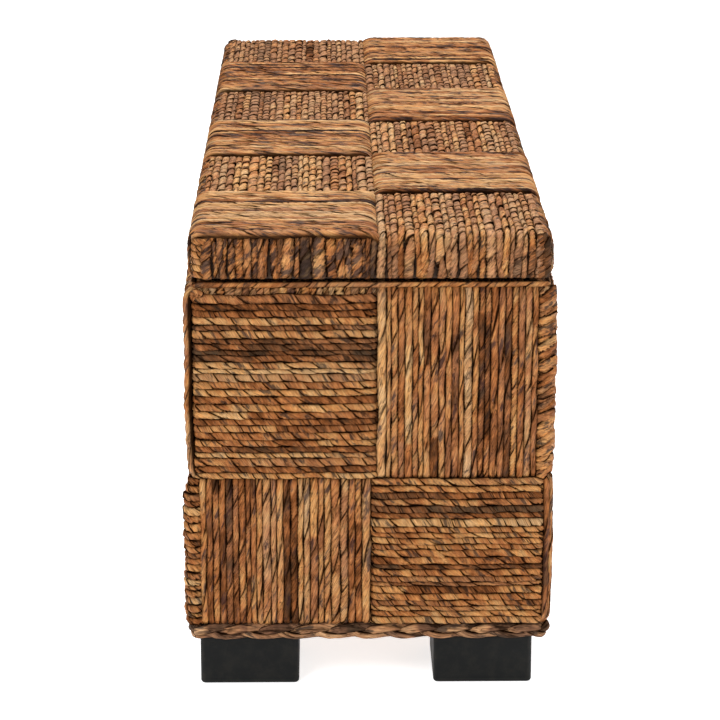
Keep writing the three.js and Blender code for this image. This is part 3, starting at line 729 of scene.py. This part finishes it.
def short_tops(column, seed):
    """The ends of upright ropes that show above a top square of sideways ropes."""
    a, b = COLUMNS["upper"][column], COLUMNS["upper"][column + 1]
    strands = Strands(seed)
    rng = strands.rng
    w, middle = widths(rng, b - a)
    tone, grey = tones(rng, len(w), 0.28, 0.08, 0.03, 0.55)
    for i, (width, along) in enumerate(zip(w, middle)):
        z = np.arange(ROPE_TOP - DIVE, BODY_TOP - 9, WALL_STEP)
        d = UNDER + (OVER - 0.6 - UNDER) * smoothstep((z - (ROPE_TOP - 6)) / 7)
        z, d, u, height = turn_in(z, d, np.full(z.shape, a + along), np.full(z.shape, 8.0))
        strands.rope(*over_rail(z, d, u), width * 1.2, height, tone[i], rng.uniform(14, 34),
                     5, 7, grey=grey[i])
    return strands


for column in range(16):
    node = WALL_NODES[column]
    place = node.split("_")[0]
    low = BODY_BOTTOM - 1
    if column % 2 == 0:
        upper = sideways_square("upper", column, ROW_SPLIT, ROPE_TOP, 100 + column)
        lower = upright_square("lower", column, low, ROW_SPLIT, 200 + column)
        leaves = leaf_rope, smooth_leaf
        tops = short_tops(column, 300 + column)
        tops.piece(f"{place}_rope_ends_{column:02d}", "trunk", smooth_leaf, "leaf_rope", node)
    else:
        upper = upright_square("upper", column, ROW_SPLIT, BODY_TOP - 8, 100 + column)
        lower = sideways_square("lower", column, low, ROW_SPLIT, 200 + column)
        leaves = smooth_leaf, leaf_rope
    upper.piece(f"{place}_upper_weave_{column:02d}", "trunk", leaves[0], "leaf_rope", node)
    lower.piece(f"{place}_lower_weave_{column:02d}", "trunk", leaves[1], "leaf_rope", node)

# ---- Rim rope and bottom plait ----


def ring_line(case, inset, step):
    """Distances and depths of a closed ring round a case, at an inset from its face."""
    u = np.arange(0, case.total + step / 2, step)
    u = u * case.total / u[-1]
    return u, np.full(u.shape, -inset)


def rim_rope():
    """The thin twisted rope round the body's top edge."""
    strands = Strands(41)
    u, d = ring_line(body_case, HALF_LONG - RIM_HIGH[0] + 3.6, 2.0)
    back = body_case.starts[1:3]  # along the back it lies lower, clear of the hinges
    dip = 2.1 * smoothstep((u - back[0] + 10) / 20) * smoothstep((back[1] + 10 - u) / 20)
    z = (RIM_LOW[2] + RIM_HIGH[2]) / 2 + 2.6 - dip + 0.4 * wobble(u, strands.rng, 150)
    z[-1] = z[0]
    strands.rope(*body_case.at(u, d, z), 6.6, 6.6, 0.34, 24, 6, 7, hand=-1, crease=0.2, grey=0.35)
    strands.piece("rim_twist", "trunk", leaf_rope, "leaf_rope", "rim_rope")


def bottom_plait():
    """Three strands, each weaving from the upper edge to the lower one and back. Every other time
    one comes over the upper edge it is folded so that its purple-brown side shows."""
    strands = Strands(42)
    mid = (BRAID_LOW[2] + BRAID_HIGH[2]) / 2
    repeats = int(round(body_case.total / 120))
    u = np.arange(0, body_case.total + 1, 1.6)
    turns = u / body_case.total * repeats
    ends = np.sin(math.pi * u / u[-1])
    near_corner = smoothstep(1 - np.minimum(u, body_case.total - u) / 34)
    for k in range(3):
        p = turns + k / 3 + 0.030 * wobble(u, strands.rng, 190) * ends
        rise = np.tanh(1.1 * np.sin(TAU * p)) / math.tanh(1.1)
        z = mid - 0.8 + 4.9 * rise + 0.4 * wobble(u, strands.rng, 120) * ends
        d = -6.2 + 2.8 * np.sin(2 * TAU * p) + 6.0 * near_corner * (0.5 + 0.5 * rise)
        points, outward = body_case.at(u, d, z)
        outward[:, 2] += 0.5 * rise
        passage = np.floor(p).astype(int)
        folded = (passage + k) % 2 == 0
        share = p - passage
        purple = smoothstep((share - 0.10) / 0.06) * smoothstep((0.52 - share) / 0.06) * (1 - near_corner)
        shift = np.sin(7.3 * (3 * passage + k))
        tone = 0.44 + 0.07 * shift + np.where(folded, 0.34 + 0.08 * shift, 0.05) * purple
        tone -= 0.16 * near_corner
        width = 9.2 + 1.6 * rise + 0.6 * wobble(u, strands.rng, 45) * ends
        strands.rope(points, outward, width, 5.8, tone, 150, 9, 60, crease=0.05, grey=0.4,
                     bulge=0.03)
    strands.piece("bottom_plait", "trunk", braid_leaf, "leaf_braid", "bottom_braid")


rim_rope()
bottom_plait()

# ---- Lid ----
lid_case = Case(LID_LONG, LID_DEEP, LID_CORNER)
LID_ROWS = 6
LID_SPLIT = 7.5  # where the two columns of squares meet, from the lid's middle
LID_OVER = LID_TOP - 4.4  # height of the ropes that run over their neighbours
LID_UNDER = LID_OVER - 8.2  # and of those that run beneath
LID_HEEL = LID_BOTTOM + 3.0  # height of the ropes that are turned in under the lid
LID_TUCK = 27.0  # how far they are turned in
FLAT_HEIGHT = 5.6  # their thickness there
SIDE_SWELL = 3.3  # how much further the ropes stand out on the long sides than on the ends
EDGE = 11.0  # radius of the lid's top edge


def surface(start, crest, way=1):
    """A line, in (reach, height), that comes up from under the next square to a crest."""
    return [(start - 9 * way, LID_UNDER), (start - 2 * way, LID_UNDER + 1.5),
            (start + 6 * way, crest - 1.2), (start + 14 * way, crest)]


def down_side(reach, top):
    """A line down the lid's side and in below."""
    return [(reach + 0.6, (top + LID_BOTTOM) / 2), (reach, LID_BOTTOM + 9), (reach - 2.0, LID_BOTTOM + 4.5),
            (reach - 7, LID_HEEL), (reach - LID_TUCK, LID_HEEL)]


def down_edge(reach, top, start):
    """A line over the lid's edge: out along the top from start, down the side and in below."""
    points = [(start, top), (reach - EDGE, top)]
    for a in np.radians([70, 45, 20]):
        points.append((reach - EDGE + EDGE * math.cos(a), top - EDGE + EDGE * math.sin(a)))
    return points + [(reach, top - EDGE - 4)] + down_side(reach, top)


def lay(strands, line, origin, direction, side, tone, grey, width, turn, crease, tilt=0.0,
        lean=0.0, sway=0.7, bulge=0.07, backwards=False, darker=0.0):
    """Lays a rope along a line in (reach, height), in the upright plane through origin. tilt
    turns its face to the side. lean shifts it sideways and darker adds to its tone as it goes
    down the lid's side. A backwards rope is wound from its far end, so its wraps overlap the
    other way."""
    rng = strands.rng
    normals = side_normals(line)
    height = np.where((line[:, 1] < LID_BOTTOM + 6), FLAT_HEIGHT, ROPE_HEIGHT)
    height = np.convolve(np.pad(height, 3, "edge"), np.ones(7) / 7, "valid")
    s = np.arange(len(line)) * TRACE_STEP
    sway = sway * wobble(s, rng, 80)
    direction = np.array(direction, float)
    side = np.array(side, float)
    sway += lean * smoothstep((LID_TOP - line[:, 1]) / (LID_TOP - LID_BOTTOM))
    down = smoothstep((LID_TOP - 9 - line[:, 1]) / 14)
    tone = tone + darker * down
    width = width * (1.06 + 0.12 * down)
    centre = (np.array(origin, float) + line[:, :1] * direction + line[:, 1:] * [0, 0, 1]
              + sway[:, None] * side)
    outward = normals[:, :1] * direction + normals[:, 1:] * [0, 0, 1] + tilt * side
    if backwards:
        centre, outward, height, tone, width = (v[::-1] for v in (centre, outward, height, tone, width))
    strands.rope(centre, outward, width, height, tone, turn, 6, rings_for(turn), grey=grey,
                 crease=crease, bulge=bulge)


# Mean tones of the lid's squares, (row, column), as judged, where they aren't the usual one
LID_TONE = 0.36
LID_TONES = {(0, 0): 0.32, (1, 0): 0.34, (1, 1): 0.31, (2, 0): 0.33, (3, 0): 0.41, (3, 1): 0.29,
             (4, 0): 0.47, (4, 1): 0.39, (5, 0): 0.42, (5, 1): 0.39}


def top_square(row, column, seed):
    """One square of the lid's top. Crosswise ropes run along Y, lengthwise ones along X."""
    strands = Strands(seed)
    rng = strands.rng
    row_size = 2 * LID_LONG / LID_ROWS
    x_high = LID_LONG - row * row_size
    x_low = x_high - row_size
    sy = -1 if column == 0 else 1
    crosswise = (row + column) % 2 == 0
    crown = rng.uniform(0.6, 1.4)
    if crosswise:
        low, high = x_low, x_high
        edge_low, edge_high = row == LID_ROWS - 1, row == 0
    else:
        low, high = (-LID_DEEP, LID_SPLIT) if sy < 0 else (LID_SPLIT, LID_DEEP)
        edge_low, edge_high = sy < 0, sy > 0
    margin = 6.5 if crosswise else 7.5  # an edge rope lies back from the lid's rounded edge
    margin_low, margin_high = (margin if edge_low else 0), (margin if edge_high else 0)
    w, middle = widths(rng, high - low - margin_low - margin_high, spread=0.26)
    mean = LID_TONES.get((row, column), LID_TONE)
    if crosswise:
        tone, grey = tones(rng, len(w), mean, 0.14, 0.18, 0.08)
    else:
        tone, grey = tones(rng, len(w), mean, 0.09, 0.05, 0.52 + 0.07 * row)
        tone = np.minimum(tone, 0.52)
    for i, (width, along) in enumerate(zip(w, middle)):
        place = low + margin_low + along
        sink = tilt = 0.0
        for is_edge, gap, away in ((edge_low, place - low, -1), (edge_high, high - place, 1)):
            if is_edge and gap < 15:
                sink += (0.6 if crosswise else 1.0) * (1 - gap / 15) ** 1.5
                tilt = away * 1.1 * (1 - gap / 15)
        outermost = crosswise and min(place - low, high - place) < 12 and tilt
        if outermost:
            width, tone[i], grey[i] = 11.5, 0.42, 0.4
        elif tilt:
            tone[i] = min(tone[i], 0.36)
        x = (place - low) / (high - low) * 2 - 1
        lifted = 1.3 if crosswise else -1.2
        crest = LID_OVER + lifted + crown * (1 - 0.6 * x * x) - sink + rng.uniform(-0.6, 0.4)
        turn = 17 * math.exp(rng.uniform(0, 1.2))
        if crosswise:
            turn = rng.uniform(50, 120)
            over = down_edge(LID_DEEP - 4.0 - 0.3 * rng.uniform() + SIDE_SWELL, crest, 60)
            if tilt:
                over = over[:4] + [(LID_DEEP - 12, LID_TOP - 17), (LID_DEEP - 20, LID_TOP - 20)]
            line = trace(surface(sy * LID_SPLIT, crest) + over)
            lay(strands, line, (place, 0, 0), (0, sy, 0), (1, 0, 0), tone[i], grey[i], width,
                60 if outermost else turn, 0.16 if outermost else rng.uniform(0.05, 0.14), tilt,
                sway=1.4 if outermost else 0.7)
        elif row in (0, LID_ROWS - 1):
            sx = 1 if row == 0 else -1
            inner = LID_LONG - row_size
            over = down_edge(LID_LONG - 4.0 - 0.3 * rng.uniform(), crest, inner + 60)
            line = trace(surface(inner, crest) + over)
            lay(strands, line, (0, place, 0), (sx, 0, 0), (0, 1, 0), tone[i], grey[i], width, turn,
                rng.uniform(0.18, 0.5), tilt, rng.uniform(-3.0, 3.0), bulge=0.12,
                backwards=sx < 0, darker=0.15)
        else:
            line = trace(surface(x_low, crest) + surface(x_high, crest, -1)[::-1])
            lay(strands, line, (0, place, 0), (1, 0, 0), (0, 1, 0), tone[i], grey[i], width, turn,
                rng.uniform(0.18, 0.5), tilt, bulge=0.12)
    return strands


def side_square(row, sy, end, seed):
    """Upright ropes on the lid's side, which come out from under ropes that run along its edge.
    On a long side end is 0; on an end it is +1 or -1."""
    strands = Strands(seed)
    rng = strands.rng
    row_size = 2 * LID_LONG / LID_ROWS
    if end:
        low, high = (-LID_DEEP, LID_SPLIT) if sy < 0 else (LID_SPLIT, LID_DEEP)
        face, direction, side = LID_LONG, (end, 0, 0), (0, 1, 0)
    else:
        high = LID_LONG - row * row_size
        low = high - row_size
        face, direction, side = LID_DEEP, (0, sy, 0), (1, 0, 0)
    trim_low = LID_CORNER if (end and sy < 0) or (not end and row == LID_ROWS - 1) else 0
    trim_high = LID_CORNER if (end and sy > 0) or (not end and row == 0) else 0
    low, high = low + trim_low, high - trim_high
    w, middle = widths(rng, high - low, spread=0.36)
    tone, grey = tones(rng, len(w), 0.47, 0.11, 0.10, 0.40)
    for i, (width, along) in enumerate(zip(w, middle)):
        reach = face - 3.4 - 1.5 * (i % 2) - 0.4 * rng.uniform()
        top = LID_OVER - (2.5 if end else 1.2)
        line = [(reach - 17, top - 6.5), (reach - 12, top - 1.0), (reach - 7, top - 1.0),
                (reach - 2.4, top - 4.6), (reach, top - 11)]
        line = trace(line + down_side(reach, top), passes=4)
        origin = (0, low + along, 0) if end else (low + along, 0, 0)
        if not end:
            line[:, 0] += SIDE_SWELL
        lay(strands, line, origin, direction, side, tone[i], grey[i], width * 1.09,
            rng.uniform(26, 64), rng.uniform(0.2, 0.5), lean=rng.uniform(-3.8, 3.8))
    return strands


for row in range(LID_ROWS):
    for column in range(2):
        made = top_square(row, column, 500 + 2 * row + column)
        crosswise = (row + column) % 2 == 0
        look = streaked_leaf if crosswise else beaded_leaf
        made.piece(f"lid_top_weave_{row}{column}", "lid", look, "leaf_rope", "lid_top_weave")
        sy = -1 if column == 0 else 1
        side_node = "lid_front_weave" if column == 0 else "lid_back_weave"
        if not crosswise:
            made = side_square(row, sy, 0, 540 + 2 * row + column)
            made.piece(f"lid_side_weave_{row}{column}", "lid", stained_leaf, "leaf_rope", side_node)
        if crosswise and row in (0, LID_ROWS - 1):
            end = 1 if row == 0 else -1
            made = side_square(row, sy, end, 570 + 2 * row + column)
            end_node = "lid_right_weave" if end > 0 else "lid_left_weave"
            made.piece(f"lid_end_weave_{row}{column}", "lid", stained_leaf, "leaf_rope", end_node)


def lid_corners():
    """Two opposite corners show a stack of sideways wraps; the other two a thick upright rope."""
    stack = Strands(61)
    rng = stack.rng
    spans = lid_case.starts
    levels = np.arange(LID_BOTTOM + 7.0, LID_TOP - 9, 7.2)
    for start in (spans[0], spans[2]):
        for z0 in levels:
            u = np.arange(start - 18, start + 18.1, 1.5)
            d = -4.6 + rng.uniform(-0.4, 0.3) - 7.0 * smoothstep((np.abs(u - start) - 12) / 6)
            stack.rope(*lid_case.at(u, d, z0 + rng.uniform(-0.4, 0.4)), 8.2, 8.4,
                       rng.uniform(0.25, 0.55), rng.uniform(12, 17), grey=rng.uniform(0, 0.4))
    stack.piece("lid_corner_stacks", "lid", leaf_rope, "leaf_rope")
    post = Strands(62)
    for start in (spans[1], spans[3]):
        for offset, width, tone in ((-8.5, 10.5, 0.62), (0.5, 12.5, 0.80), (9.5, 9.5, 0.5)):
            z = np.arange(LID_BOTTOM + 2.5, LID_TOP - 4, 1.5)
            ends = smoothstep((z - LID_BOTTOM) / 9) * smoothstep((LID_TOP - 1 - z) / 12)
            d = -10 + 5.2 * ends + (0.8 if offset == 0.5 else 0)
            u = np.full(z.shape, start + offset)
            post.rope(*lid_case.at(u, d, z), width, 10.0, tone, 14, grey=0.3, crease=0.24)
    post.piece("lid_corner_ropes", "lid", leaf_rope, "leaf_rope")


lid_corners()


def corner_knots():
    """Where a side's top sideways rope meets the upright corner, its end is curled in a knot."""
    strands = Strands(63)
    for start in (body_case.starts[0], body_case.starts[2]):
        for reach, radius, tone in ((13.0, 4.6, 0.42), (9.5, 3.0, 0.56)):
            a = np.linspace(-0.4, math.pi * 1.35, 34)
            u = start + reach + radius * 1.5 * np.cos(a)
            z = ROPE_TOP - 1.0 + radius * np.sin(a)
            strands.rope(*body_case.at(u, -2.6 + 0.8 * np.sin(a), z, 0.2), 6.2, 6.4, tone, 12, 6, 6, grey=0.3)
    strands.piece("corner_knots", "trunk", leaf_rope, "leaf_rope")


def stray_fibres(name, body, case, low, high, count, seed, depths):
    """Loose hairs of leaf that stand away from the ropes, most of them near the corners."""
    strands = Strands(seed)
    rng = strands.rng
    for _ in range(count):
        corner = case.starts[rng.integers(4)]
        start = corner + rng.normal(0, 60 if rng.uniform() < 0.5 else 16)
        length = rng.uniform(6, 17)
        angle = rng.uniform(0, TAU)
        t = np.linspace(0, 1, 9)
        u = start + length * t * math.cos(angle) * 0.8
        z = np.clip(rng.uniform(low, high) + length * t * math.sin(angle), low, high)
        d = depths[0] + (depths[1] - depths[0]) * np.sin(t * rng.uniform(1.2, 2.9)) * rng.uniform(0.4, 1)
        strands.rope(*case.at(u, d, z + 0.8 * np.sin(5 * t)), 0.7 - 0.4 * t, 0.7 - 0.4 * t,
                     rng.uniform(0.1, 0.8), 9, 3, 5, crease=0.02)
    strands.piece(name, body, leaf_rope, "leaf_rope")


corner_knots()
stray_fibres("trunk_stray_fibres", "trunk", body_case, BODY_BOTTOM + 5, BODY_TOP - 5, 130, 71, (-1.5, 4.0))
stray_fibres("lid_stray_fibres", "lid", lid_case, LID_BOTTOM + 8, LID_TOP - 3, 90, 72, (-2.0, 4.5))


# ---- The ropes that cross beneath, seen only through gaps: sheets coloured in painted shade ----
RIB_STEP = 2.1


def rib(distance):
    return 0.9 * np.abs(np.sin(math.pi * distance / ROPE))


def under_layer(name, co, faces, body, node):
    me = bpy.data.meshes.new(name)
    me.from_pydata((co * MM).tolist(), [], faces)
    me.materials.append(shadowed_leaf)
    made = add(name, me)
    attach(made, body)
    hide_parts(node)


def ribbed_band(name, case, levels, body, node):
    """A layer round the walls of a case. Its levels are (height, inset) pairs."""
    u = np.linspace(0, case.total, int(case.total / RIB_STEP))
    co = np.concatenate([case.at(u, -rib(u) - inset, z)[0] for z, inset in levels])
    n = len(u)
    faces = [(k + i, k + (i + 1) % n, k + n + (i + 1) % n, k + n + i)
             for k in range(0, n * (len(levels) - 1), n) for i in range(n)]
    under_layer(name, co, faces, body, node)


def ribbed_sheet():
    """A layer under the lid's top."""
    x = np.arange(-LID_LONG + 12, LID_LONG - 12, RIB_STEP)
    z = LID_UNDER - 3.4 + rib(x)
    y = LID_DEEP - 12
    co = np.concatenate([np.stack([x, np.full(x.shape, s * y), z], 1) for s in (-1, 1)])
    n = len(x)
    faces = [(i, i + 1, n + i + 1, n + i) for i in range(n - 1)]
    under_layer("lid_under_layer", co, faces, "lid", "lid_top_weave")


ribbed_band("body_under_layer", body_case,
            [(BODY_BOTTOM - 8, 8.0), (BODY_BOTTOM + 1, 8.0), (BODY_BOTTOM + 5, 11.6), (BODY_TOP - 8, 11.6)],
            "trunk", "front_weave")
ribbed_band("lid_side_under_layer", lid_case, [(LID_BOTTOM + 2, 7.2), (LID_TOP - 12, 7.2)],
            "lid", "lid_front_weave")
ribbed_sheet()

# ---- Stage, light and camera ----


def stage_floor():
    n = Nodes("studio_white")
    soft = n.noise(n.place(), 3.0, 2, 0.5)
    n.plug(n.shader, {"Base Color": n.ramp(soft, [(0.3, (0.86, 0.86, 0.86)), (0.7, (0.88, 0.88, 0.88))]),
                      "Roughness": 0.9, "Specular IOR Level": 0.05,
                      "Emission Color": (1, 1, 1, 1), "Emission Strength": 0.75})
    me = bpy.data.meshes.new("studio_floor")
    half = 60.0  # metres
    corners = [(-half, -half, 0), (half, -half, 0), (half, half, 0), (-half, half, 0)]
    me.from_pydata(corners, [], [(0, 1, 2, 3)])
    me.materials.append(n.material)
    floor = add("studio_floor", me)
    floor.location.z = -0.5 * MM  # just clear of the feet


def lamp(name, place, target, size, energy):
    data = bpy.data.lights.new(name, "AREA")
    data.shape = "RECTANGLE"
    data.size, data.size_y = size
    data.energy = energy
    made = add(name, data)
    made.location = place
    made.rotation_euler = (Vector(target) - Vector(place)).to_track_quat("-Z", "Y").to_euler()


def world():
    made = bpy.data.worlds.new("studio")
    made.use_nodes = True
    colour, strength = made.node_tree.nodes["Background"].inputs[:2]
    colour.default_value = (1.0, 1.0, 1.0, 1)
    strength.default_value = 0.50
    bpy.context.scene.world = made


def camera():
    """Its place, aim and lens were fitted to the perspective of the photo."""
    data = bpy.data.cameras.new("camera")
    data.sensor_width = 36.0
    data.lens = 137.35
    data.clip_start, data.clip_end = 0.05, 100
    made = add("camera", data)
    made.location = (3.429, -0.048, 1.229)
    yaw, pitch = math.radians(0.735), math.radians(16.67)
    forward = Vector((-math.cos(yaw) * math.cos(pitch), math.sin(yaw) * math.cos(pitch), -math.sin(pitch)))
    made.rotation_euler = forward.to_track_quat("-Z", "Y").to_euler()
    bpy.context.scene.camera = made


stage_floor()
world()
lamp("key", (2.8, -1.6, 2.6), (0.4, 0, 0.25), (1.4, 1.4), 75)
lamp("fill", (3.2, 2.2, 1.5), (0.3, 0, 0.3), (1.8, 1.8), 25)
lamp("top", (-0.6, 0.3, 3.0), (0, 0, 0.4), (2.4, 1.6), 110)
camera()
bpy.context.scene.view_settings.view_transform = "Standard"
